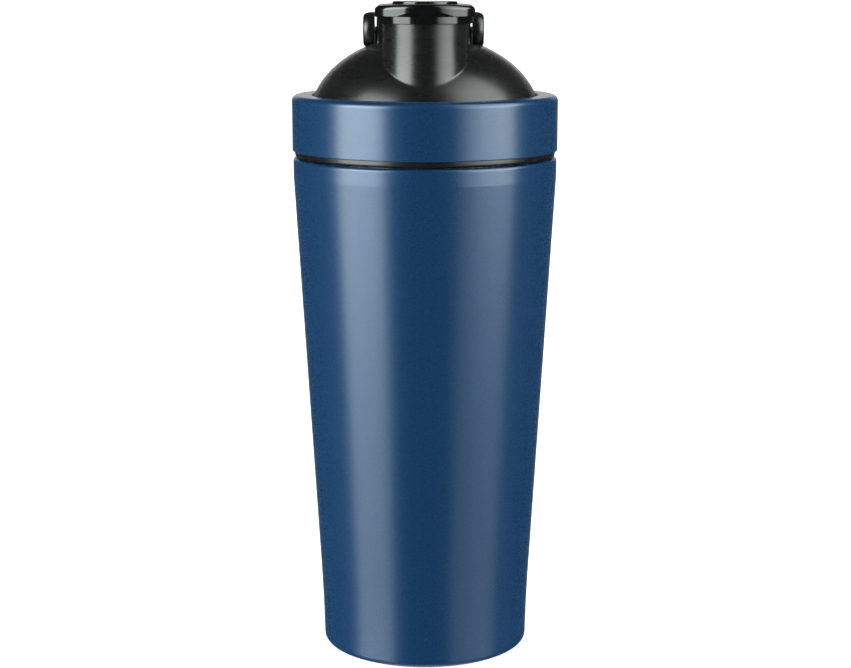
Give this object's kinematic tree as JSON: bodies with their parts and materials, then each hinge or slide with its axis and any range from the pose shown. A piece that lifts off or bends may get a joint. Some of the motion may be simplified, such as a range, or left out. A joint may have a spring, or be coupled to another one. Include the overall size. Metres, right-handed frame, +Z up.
{
  "type": "protein shaker bottle",
  "caption": "Double-walled steel shaker cup with a screw lid, drinking spout under a flip cap, folding carry loop and loose wire mixing ball.",
  "frame": {"origin": "centre of the cup's foot, on the plane that the bottle stands on", "axes": "+Z up along the bottle's axis, -Y towards the drinking spout, +X to the right seen from the spout side"},
  "size_m": [0.095, 0.095, 0.2354],
  "materials": {
    "painted_steel": "blue satin powder coat",
    "bare_steel": "turned and brushed stainless",
    "pin_steel": "drawn stainless wire",
    "black_plastic": "satin moulded black",
    "cap_plastic": "glossy moulded black",
    "silicone": "soft dark grey silicone"
  },
  "bodies": {
    "cup": {"outer_shell": "painted_steel", "inner_liner": "bare_steel", "base_plate": "bare_steel"},
    "gasket": {"lid_gasket": "silicone"},
    "lid": {"lid_body": "black_plastic", "collar_ring": "painted_steel", "hinge_pin": "pin_steel"},
    "flip_cap": {"flip_cap": "cap_plastic", "cap_seal": "silicone"},
    "carry_loop": {"carry_loop": "black_plastic"},
    "mixing_ball": {"mixing_ball": "pin_steel"}
  },
  "joints": [
    {"name": "lid_lift", "type": "slide", "parent": "cup", "child": "gasket", "axis": [0, 0, 1], "range_m": [0, 0.0241]},
    {"name": "lid_turn", "type": "hinge", "parent": "gasket", "child": "lid", "pos_m": [0, 0, 0.1804], "axis": [0, 0, 1], "range_deg": [0, 1080]},
    {"name": "cap_swing", "type": "hinge", "parent": "lid", "child": "flip_cap", "pos_m": [0, 0.004, 0.22467], "axis": [-1, 0, 0], "range_deg": [0, 135]},
    {"name": "loop_swing", "type": "hinge", "parent": "lid", "child": "carry_loop", "pos_m": [0, 0.004, 0.22467], "axis": [1, 0, 0], "range_deg": [0, 110]},
    {"name": "ball_float", "type": "slide", "parent": "cup", "child": "mixing_ball", "axis": [0, 0, 1], "range_m": [0, 0.13]}
  ],
  "couplings": [
    {"joint": "lid_lift", "follows": "lid_turn", "m_per_rad": 0.0012732}
  ]
}
